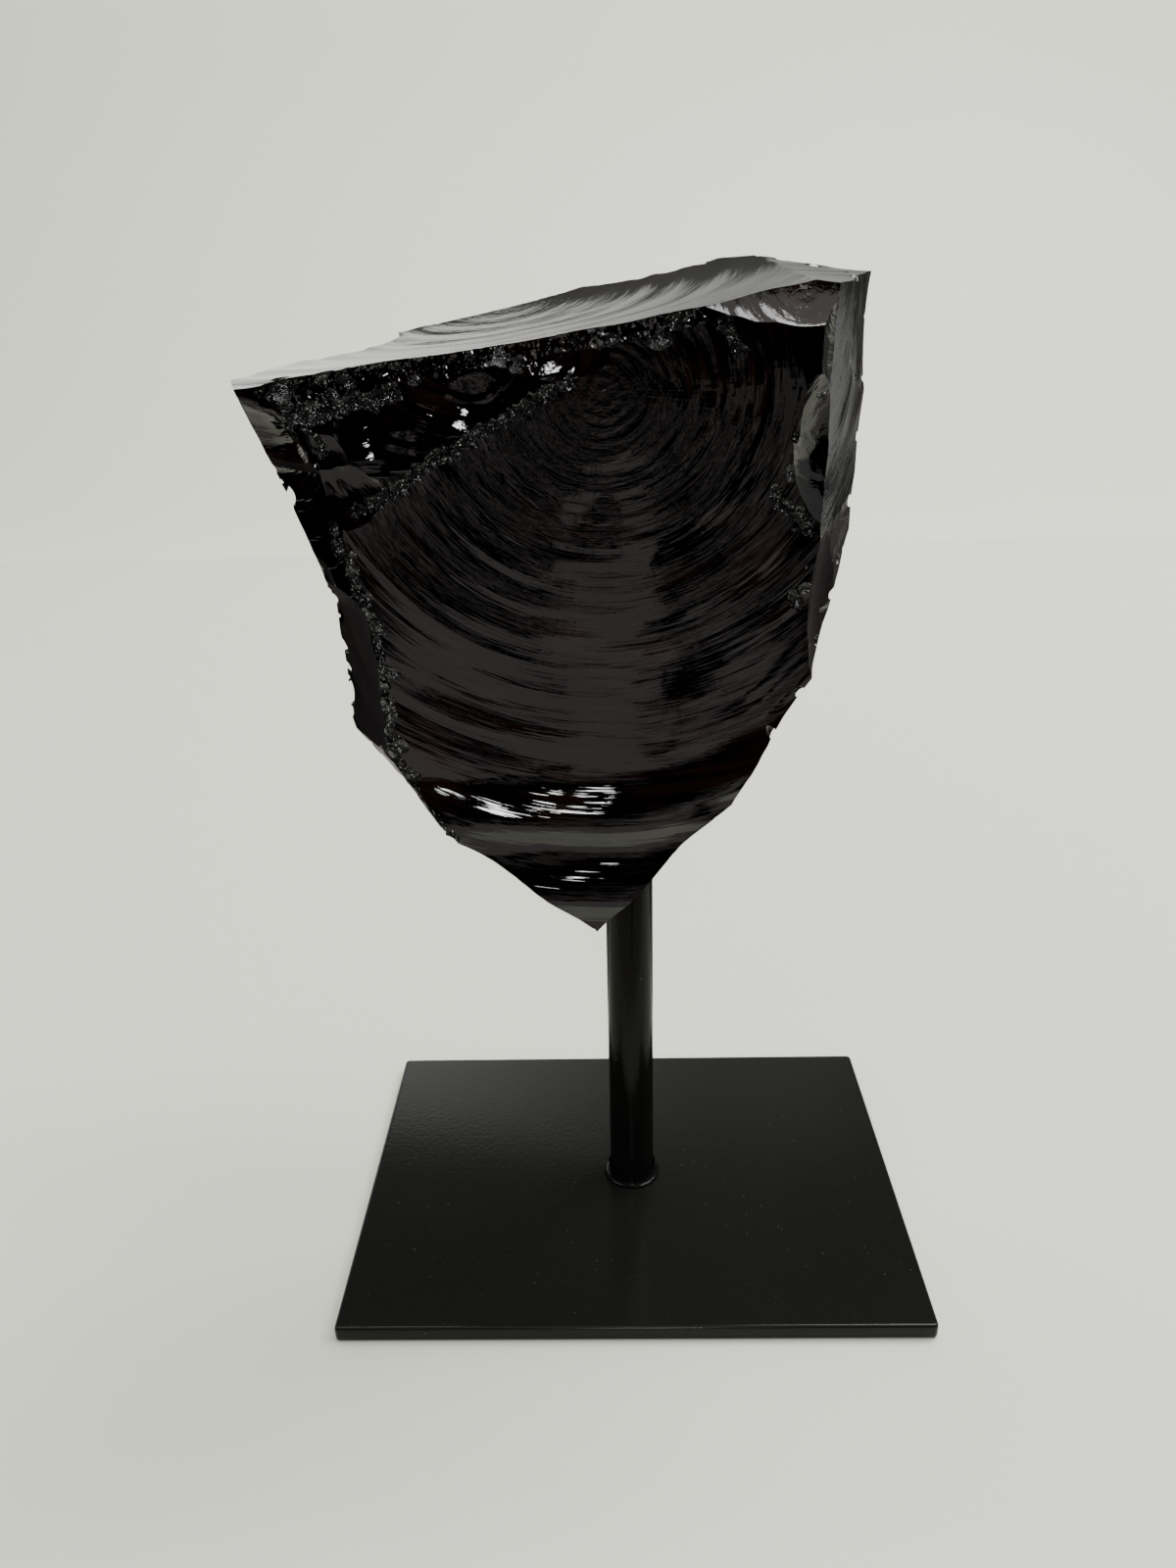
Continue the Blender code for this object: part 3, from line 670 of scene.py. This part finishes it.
chipValues = {
    "leftEdge": {"path": [(-41.4, 131), (-40.3, 126), (-38.6, 121), (-37.2, 114.5), (-36.2, 107),
                          (-36.5, 97), (-34.8, 90), (-28.8, 81.6), (-22.6, 75.2), (-14, 69.6), (-8, 66)],
                 "spacing": 1.6, "size": (0.6, 2.2), "spread": 1.4, "out": 0.5},
    "rightEdge": {"path": [(26.6, 146), (22.8, 140), (21.4, 133), (26.0, 128), (25.4, 118), (28.6, 107),
                           (23.6, 99), (19.4, 92), (15.8, 84), (9.0, 79), (3.5, 71.5)],
                  "spacing": 3.0, "size": (0.6, 1.7), "spread": 1.0, "out": 0.6},
    "topRim": {"path": [(-49.5, 147.9), (-44, 149.0), (-38, 149.8), (-31, 150.8), (-24, 151.8),
                        (-17, 153.0), (-10, 154.0), (-3, 155.1), (4, 156.2), (9, 157.0)],
               "spacing": 2.0, "size": (0.7, 2.1), "spread": 1.5, "out": 0.6},
    "tip": {"points": [(-9.5, -15.4, 65.6), (-7.4, -15.6, 64.4), (-5, -15, 65.4), (-2, -14.6, 67.6)],
            "spacing": 0.9, "size": (0.5, 1.2), "spread": 0.7},
    "backRim": {"points": [(-37, 21, 157.4), (-22, 26, 158.6), (-8, 28, 161.0), (6, 27, 164.4),
                           (18, 25, 165.4), (28, 19, 165.0), (36, 2, 162.8), (33, -12, 162.4)],
                "spacing": 5.0, "size": (0.7, 1.9), "spread": 1.2},
    "leftRim": {"points": [(-52, -17, 147.6), (-54, -12, 148.6), (-48, -1, 151.6), (-42, 9, 153.6)],
                "spacing": 3.4, "size": (0.6, 1.7), "spread": 1.0},
    "rightBack": {"points": [(36.6, 3, 158), (36.6, 2, 148), (36.2, 1, 138), (34.6, 0, 126), (32.6, -2, 112)],
                  "spacing": 4.4, "size": (0.7, 1.9), "spread": 1.0},
    "leftOutline": {"side": -1, "heights": (86, 147), "spacing": 2.8, "size": (0.8, 2.6), "spread": 1.0},
    "rightOutline": {"side": 1, "heights": (96, 158), "spacing": 8.0, "size": (0.6, 1.6), "spread": 0.8},
}


def onSide(stone, side, low, high):  # the stone's outermost points to the left (-1) or to the right (1)
    places = np.zeros(3 * len(stone.data.vertices))
    stone.data.vertices.foreach_get("co", places)
    places = places.reshape(-1, 3) / mm
    points = []
    for height in np.arange(low, high, 2.0):
        near = places[np.abs(places[:, 2] - height) < 1.2]
        points.append(near[np.argmax(side * near[:, 0])].tolist())
    return points


def chipTree():
    tree = bpy.data.node_groups.new("edgeChips", "GeometryNodeTree")
    net, group = openTree(tree, {"Geometry": "Geometry", "Spacing": "Float", "Smallest": "Float",
                                 "Largest": "Float", "Spread": "Float", "Seed": "Int",
                                 "Material": "Material"})
    seed = group.of("Seed")
    points = net.add("GeometryNodeCurveToPoints", {"mode": "LENGTH"},
                     {"Curve": group.of("Geometry"), "Length": group.of("Spacing")})
    jitter = net.add("FunctionNodeRandomValue", {"data_type": "FLOAT_VECTOR"},
                     {"Min": (-1, -1, -1), "Max": (1, 1, 1), "Seed": seed})
    offset = net.vector("SCALE", {0: jitter, "Scale": group.of("Spread")})
    scattered = net.add("GeometryNodeSetPosition", {}, {"Geometry": points, "Offset": offset})
    ball = net.add("GeometryNodeMeshIcoSphere", {}, {"Radius": 1.0, "Subdivisions": 3})
    size = net.add("FunctionNodeRandomValue", {"data_type": "FLOAT"},
                   {2: group.of("Smallest"), 3: group.of("Largest"), "Seed": seed + 1}, 1)
    squash = net.add("FunctionNodeRandomValue", {"data_type": "FLOAT_VECTOR"},
                     {"Min": (0.55, 0.55, 0.55), "Max": (1.35, 1.35, 1.35), "Seed": seed + 2})
    scale = net.vector("SCALE", {0: squash, "Scale": size})
    turn = net.add("FunctionNodeRandomValue", {"data_type": "FLOAT_VECTOR"},
                   {"Min": (0, 0, 0), "Max": (6.28, 6.28, 6.28), "Seed": seed + 3})
    copies = net.add("GeometryNodeInstanceOnPoints", {}, {"Points": scattered, "Instance": ball,
                                                          "Rotation": turn, "Scale": scale})
    closeTree(net, copies, group.of("Material"))
    return tree


def edgeChips(stone, surface, glass, crushed):
    tree = chipTree()
    chips = []
    for number, (name, v) in enumerate(chipValues.items()):
        material = crushed
        if "points" in v:
            points = v["points"]
        elif "side" in v:
            points = onSide(stone, v["side"], *v["heights"])
            material = glass
        else:
            points = onFront(surface, v["path"], v["out"])
        curve = polyCurve(name, points)
        smallest, largest = v["size"]
        values = {"Spacing": v["spacing"] * mm, "Smallest": smallest * mm, "Largest": largest * mm,
                  "Spread": v["spread"] * mm, "Seed": 11 + number, "Material": material}
        chips.append(growAlong(curve, tree, values, "chips_" + name))
    return chips


def cutStone(block, cutters, name):
    group = bpy.data.collections.new("cutters")
    bpy.context.scene.collection.children.link(group)
    for cutter in cutters:
        group.objects.link(cutter)
    modifier = block.modifiers.new("cut", "BOOLEAN")
    modifier.operation = "DIFFERENCE"
    modifier.solver = "MANIFOLD"
    modifier.operand_type = "COLLECTION"
    modifier.collection = group
    stone = asMesh(block, name)
    for obj in [block] + cutters:
        bpy.data.objects.remove(obj)
    bpy.data.collections.remove(group)
    return stone


def dropCrumbs(obj):  # keeps the largest body of the mesh
    bm = bmesh.new()
    bm.from_mesh(obj.data)
    bm.verts.ensure_lookup_table()
    waiting = set(bm.verts)
    bodies = []
    while waiting:
        front = [waiting.pop()]
        body = set(front)
        while front:
            vertex = front.pop()
            for edge in vertex.link_edges:
                other = edge.other_vert(vertex)
                if other not in body:
                    body.add(other)
                    front.append(other)
        waiting -= body
        bodies.append(body)
    bodies.sort(key=len)
    crumbs = [vertex for body in bodies[:-1] for vertex in body]
    bmesh.ops.delete(bm, geom=crumbs, context="VERTS")
    bm.to_mesh(obj.data)
    bm.free()
    return len(bodies) - 1


def makeStone(glass, crushed):
    scars = {**bigScars, **smallScars}
    flakes = [makeFlake(name, scar, number, glass) for number, (name, scar) in enumerate(scars.items())]
    print("flakes made:", len(flakes))
    rough = cutStone(makeBlock(glass), flakes + [makeBore(glass)], "roughStone")
    print("flakes struck off:", len(rough.data.polygons), "faces")
    surface = surfaceOf(rough)
    stone = rough
    for cutter in crushedTubes(surface, crushed) + edgeChips(rough, surface, glass, crushed):
        stone = cutStone(stone, [cutter], "obsidianStone")
    crumbs = dropCrumbs(stone)
    shadeRound(stone, stoneValues["sharpAngle"])
    print("edges crushed:", len(stone.data.polygons), "faces,", crumbs, "crumbs dropped")
    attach(stone, "root")
    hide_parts("obsidian_chunk")
    return stone


# Glass

glassValues = {
    "black": (0.0006, 0.0005, 0.0005),
    "brown": (0.0060, 0.0024, 0.0018),
    "ior": 1.52,
    "roughness": 0.03,
    "streakBump": 0.075,  # mm
    "threadBump": 0.030,
    "hackleBump": 0.015,
}


def glassMaterial():
    v = glassValues
    material, net = newMaterial("obsidianGlass")
    scarMap = net.add("ShaderNodeUVMap", {"uv_map": "scar"})
    parts = net.add("ShaderNodeSeparateXYZ", {}, {0: scarMap})
    distance = parts.of("X") * 100  # mm from the struck point
    turn = parts.of("Y")
    streakPlace = net.add("ShaderNodeCombineXYZ", {}, {"X": distance * 1.0, "Y": turn * 14, "Z": 0.0})
    streaks = net.noise(streakPlace, 1.0, 2.0, 0.5)
    threadPlace = net.add("ShaderNodeCombineXYZ", {}, {"X": distance * 3.0, "Y": turn * 34, "Z": 7.0})
    threads = net.noise(threadPlace, 1.0, 2.0, 0.5)
    raysPlace = net.add("ShaderNodeCombineXYZ", {}, {"X": distance * 0.12, "Y": turn * 170, "Z": 3.0})
    rays = net.noise(raysPlace, 1.0, 2.0, 0.5)
    objectPlace = net.add("ShaderNodeTexCoord", output="Object")
    patches = net.noise(objectPlace, 60, 2.0, 0.5)
    tint = net.smooth(patches + streaks * 0.7, 0.84, 1.12)
    colour = net.mix(tint, (*v["black"], 1), (*v["brown"], 1))
    dust = net.smooth(net.noise(objectPlace, 900, 2.0, 0.6), 0.62, 0.8)
    roughness = v["roughness"] + dust * 0.08
    rings = net.bump(streaks, v["streakBump"] * mm)
    fine = net.bump(threads, v["threadBump"] * mm, 1.0, rings)
    normal = net.bump(rays, v["hackleBump"] * mm, 0.5, fine)
    finishMaterial(net, {"Base Color": colour, "Roughness": roughness, "IOR": v["ior"], "Normal": normal})
    return material


crushedValues = {
    "black": (0.004, 0.004, 0.004),
    "powder": (0.34, 0.34, 0.33),
    "powderShare": 0.22,
    "grain": 0.30,  # mm
}


def crushedMaterial():
    v = crushedValues
    material, net = newMaterial("crushedGlass")
    place = net.add("ShaderNodeTexCoord", output="Object")
    specks = net.noise(place, 1 / (v["grain"] * mm), 2.0, 0.6)
    powder = net.smooth(specks, 1 - v["powderShare"] - 0.16, 1 - v["powderShare"] - 0.08)
    colour = net.mix(powder, (*v["black"], 1), (*v["powder"], 1))
    cells = net.add("ShaderNodeTexVoronoi", {"feature": "F1"}, {"Vector": place, "Scale": 1 / (0.3 * mm)})
    normal = net.bump(cells, 0.10 * mm, 0.8)
    finishMaterial(net, {"Base Color": colour, "Roughness": 0.12, "IOR": 1.52, "Normal": normal})
    return material


# The painted stand

standValues = {
    # plateColour and postColour are one black paint in two copies, a little lighter on the plate and darker
    # on the post: painted light and shade
    "plateColour": (0.0062, 0.0062, 0.0057),
    "plateShine": 0.15,
    "postColour": (0.0035, 0.0035, 0.0032),
    "postShine": 0.10,
    "orangePeel": 0.9,  # mm
    "plateCorner": 0.9,
    "plateEdge": 0.55,
    "postEdge": 0.5,
    "postSides": 96,
    "beadSides": 102,
    "beadLumps": 17,
}


def paintMaterial(part):
    v = standValues
    material, net = newMaterial(part + "Paint")
    place = net.add("ShaderNodeTexCoord", output="Object")
    peel = net.noise(place, 1 / (v["orangePeel"] * mm), 2.0, 0.5)
    grain = net.noise(place, 1 / (0.22 * mm), 1.0, 0.5)
    specks = net.smooth(net.noise(place, 1 / (0.5 * mm), 0.0), 0.86, 0.89)
    worn = net.noise(place, 60, 3.0, 0.6)
    # the part's copy of the black paint, lighter for the plate and darker for the post: painted light and
    # shade
    colour = net.mix(specks * 0.35, (*v[part + "Colour"], 1), (0.10, 0.10, 0.095, 1))
    roughness = 0.11 + worn * 0.08
    normal = net.bump(peel + grain * 0.3, 0.03 * mm)
    finishMaterial(net, {"Base Color": colour, "Roughness": roughness, "Normal": normal,
                         "Specular IOR Level": v[part + "Shine"]})
    return material


def rise(edge):
    return abs(edge.verts[0].co.z - edge.verts[1].co.z)


def roundEdges(bm, edges, offset, steps):
    bmesh.ops.bevel(bm, geom=edges, offset=offset * mm, segments=steps, affect="EDGES", profile=0.5)


def makePlate(paint):
    v = standValues
    low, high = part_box("base_plate")
    bm = bmesh.new()
    bmesh.ops.create_cube(bm, size=1)
    for vertex in bm.verts:
        for axis in range(3):
            vertex.co[axis] = low[axis] if vertex.co[axis] < 0 else high[axis]
    roundEdges(bm, [edge for edge in bm.edges if rise(edge) > mm], v["plateCorner"], 5)
    roundEdges(bm, [edge for edge in bm.edges if rise(edge) < 0.1 * mm], v["plateEdge"], 4)
    plate = solidObject("steelPlate", bm, paint)
    shadeRound(plate, 35)
    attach(plate, "root")
    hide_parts("base_plate")


def turned(name, profile, centre, sides, wobble, material):  # turns a closed profile of radius and height
    vertices = []
    faces = []
    for step in range(sides):
        angle = 2 * math.pi * step / sides
        for radius, height in profile:
            far = radius + wobble(angle, radius, height)
            vertices.append((centre.x + far * math.cos(angle), centre.y + far * math.sin(angle), height))
    count = len(profile)
    for step in range(sides):
        here = step * count
        there = ((step + 1) % sides) * count
        for i in range(count):
            j = (i + 1) % count
            faces.append((here + i, there + i, there + j, here + j))
    obj = meshObject(name, vertices, faces, material)
    bm = bmesh.new()
    bm.from_mesh(obj.data)
    bmesh.ops.recalc_face_normals(bm, faces=bm.faces)
    bm.to_mesh(obj.data)
    bm.free()
    return obj


def makePost(paint):
    low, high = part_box("post")
    centre = (low + high) / 2
    radius = (high.x - low.x) / 2
    bm = bmesh.new()
    bmesh.ops.create_cone(bm, cap_ends=True, segments=standValues["postSides"], radius1=radius,
                          radius2=radius, depth=high.z - low.z, matrix=Matrix.Translation(centre))
    rims = [edge for edge in bm.edges if rise(edge) < 0.1 * mm and edge.verts[0].co.z > centre.z]
    roundEdges(bm, rims, standValues["postEdge"], 3)
    post = solidObject("steelPost", bm, paint)
    shadeRound(post, 35)
    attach(post, "root")
    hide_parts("post")


def makeBead(paint):
    low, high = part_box("weld_bead")
    centre = (low + high) / 2
    outer = (high.x - low.x) / 2
    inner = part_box("post")[1].x - centre.x + 0.3 * mm
    width = outer - inner
    tall = high.z - low.z
    curve = [(inner + width * (1 - math.sin(a)) ** 1.3, low.z + tall * (1 - math.cos(a)) ** 1.3)
             for a in np.linspace(0, math.pi / 2, 9)]
    profile = [(inner, low.z)] + curve[:-1] + [(inner, high.z)]

    def lumps(angle, radius, height):
        if radius - inner < 0.02 * mm:
            return 0.0
        return -0.05 * width * (1 + math.sin(standValues["beadLumps"] * angle + 900 * (height - low.z)))

    bead = turned("weldBead", profile, centre, standValues["beadSides"], lumps, paint)
    shadeRound(bead, 50)
    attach(bead, "root")
    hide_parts("weld_bead")


# Floor, backdrop and light

studioValues = {
    "floorColour": (0.65, 0.65, 0.56),
    "floorFront": -1600,
    "floorBack": 900,
    "coveRadius": 500,
    "coveTop": 2200,
    "halfWidth": 2200,
    "worldColour": (0.80, 0.82, 0.80),
    "worldStrength": 0.60,
    "cards": [  # seen only in reflections: (x from, x to, y from, y to, z from, z to, brightness)
        (-500, -14, -228, -228, 0, 165, 0.002),
        (24, 500, -222, -222, 0, 165, 0.002),
        (-60, 80, -330, -330, 0, 185, 0.002),
        (-50, 85, -220, -220, 46, 60, 0.50),
        (-125, -62, -220, -220, 34, 78, 0.62),
        (-1500, 1500, -1150, -1150, 0, 1700, 0.002),
        (-40, 60, -219, -219, 70, 80, 0.35),
        # a pale card lying just above the floor in front stands for the floor in shade: painted shade, seen
        # only in reflections
        (-500, 500, -330, -85, 0.5, 0.5, 0.68),
        (10, 38, -174, -134, 0.9, 0.9, 0.003),
        (24, 58, -222, -172, 0.9, 0.9, 0.003),
        (120, 700, 60, 690, 0.9, 0.9, 0.09),
        (-520, -120, 60, 420, 0.9, 0.9, 0.05),
        (-900, 900, -1100, 900, 1750, 1750, 1.30),
        (-700, 700, 60, 690, 0.5, 0.5, 0.40),
        (-300, -301, -220, 110, 0, 140, 0.004),
    ],
    "roomNear": (1.60, 1.60, 1.53),
    "roomFar": (0.16, 0.16, 0.15),
}


def makeFloor(v):
    material, net = newMaterial("paleFloor")
    place = net.add("ShaderNodeTexCoord", output="Object")
    grain = net.noise(place, 700, 2.0, 0.5)
    normal = net.bump(grain, 0.05 * mm, 0.4)
    finishMaterial(net, {"Base Color": (*v["floorColour"], 1), "Roughness": 0.6, "Normal": normal})
    path = [(v["floorFront"], 0), (v["floorBack"], 0)]
    for step in range(1, 13):
        angle = math.pi / 2 * step / 12
        path.append((v["floorBack"] + v["coveRadius"] * math.sin(angle),
                     v["coveRadius"] * (1 - math.cos(angle))))
    path.append((v["floorBack"] + v["coveRadius"], v["coveTop"]))
    vertices = [(side * v["halfWidth"] * mm, y * mm, z * mm) for side in (-1, 1) for y, z in path]
    count = len(path)
    faces = [(i, i + count, i + count + 1, i + 1) for i in range(count - 1)]
    floor = meshObject("floor", vertices, faces, material)
    floor.data.shade_smooth()


def reflectionOnly(obj):
    obj.visible_camera = False
    obj.visible_shadow = False
    obj.visible_diffuse = False


def makeCards(v):
    for number, (left, right, front, back, low, high, brightness) in enumerate(v["cards"]):
        material, net = newMaterial("card%d" % number)
        colour = (brightness, 0.93 * brightness, 0.89 * brightness, 1)
        finishMaterial(net, {"Base Color": (0, 0, 0, 1), "Specular IOR Level": 0.0,
                             "Emission Color": colour, "Emission Strength": 1.0})
        corners = [(left, front, low), (right, front, low), (right, back, high), (left, back, high)]
        if abs(right - left) < 2:
            corners = [(left, front, low), (left, back, low), (left, back, high), (left, front, high)]
        vertices = [(x * mm, y * mm, z * mm) for x, y, z in corners]
        reflectionOnly(meshObject("card%d" % number, vertices, [(0, 1, 2, 3)], material))


def makeRoom(v):  # what the top and the sides mirror: pale low down, darker higher up and to the right
    material, net = newMaterial("roomCard")
    objectPlace = net.add("ShaderNodeTexCoord", output="Object")
    place = net.add("ShaderNodeSeparateXYZ", {}, {0: objectPlace})
    upward = net.smooth(place.of("Z"), 0.40, 0.48)
    rightward = net.smooth(place.of("X"), -0.26, 0.12) * 0.80
    room = net.mix(upward + rightward - upward * rightward, (*v["roomNear"], 1), (*v["roomFar"], 1))
    things = net.smooth(net.noise(objectPlace, 14, 1.0, 0.5), 0.42, 0.60)
    dark = net.smooth(place.of("X"), 0.18, 0.34) * (0.35 + 0.6 * things)  # darker things at the far right
    colour = net.mix(dark, room, (0.02, 0.02, 0.02, 1))
    finishMaterial(net, {"Base Color": (0, 0, 0, 1), "Specular IOR Level": 0.0,
                         "Emission Color": colour, "Emission Strength": 1.0})
    vertices = [(-1.6, 0.7, 0), (1.6, 0.7, 0), (1.6, 0.7, 1.6), (-1.6, 0.7, 1.6)]
    reflectionOnly(meshObject("roomCard", vertices, [(0, 1, 2, 3)], material))


lights = {  # place, aimed at, size, power in watts
    "ceiling": {"at": (800, 300, 1500), "aim": (0, 0, 60), "size": (1200, 1200), "power": 42.0},
    "window": {"at": (26, -900, 520), "aim": (0, 0, 100), "size": (95, 260), "power": 3.7},
    "wall": {"at": (0, 500, 1500), "aim": (0, 1400, 500), "size": (2400, 400), "power": 26.0},
}


def makeLights():
    for name, v in lights.items():
        data = bpy.data.lights.new(name, "AREA")
        data.shape = "RECTANGLE"
        data.size = v["size"][0] * mm
        data.size_y = v["size"][1] * mm
        data.energy = v["power"]
        light = bpy.data.objects.new(name, data)
        bpy.context.collection.objects.link(light)
        place = Vector(v["at"]) * mm
        light.location = place
        light.rotation_euler = (Vector(v["aim"]) * mm - place).to_track_quat("-Z", "Y").to_euler()


def makeWorld(v):
    world = bpy.data.worlds.new("paleRoom")
    world.use_nodes = True
    net = Net(world.node_tree)
    background = net.add("ShaderNodeBackground", {}, {"Color": (*v["worldColour"], 1),
                                                      "Strength": v["worldStrength"]})
    net.add("ShaderNodeOutputWorld", {}, {"Surface": background})
    bpy.context.scene.world = world


makeCamera(cameraValues)
makeWorld(studioValues)
makeFloor(studioValues)
makeCards(studioValues)
makeRoom(studioValues)
makeLights()
print("studio ready")

makeStone(glassMaterial(), crushedMaterial())

makePlate(paintMaterial("plate"))
postPaint = paintMaterial("post")
makePost(postPaint)
makeBead(postPaint)
print("stand made")

bpy.context.view_layer.update()
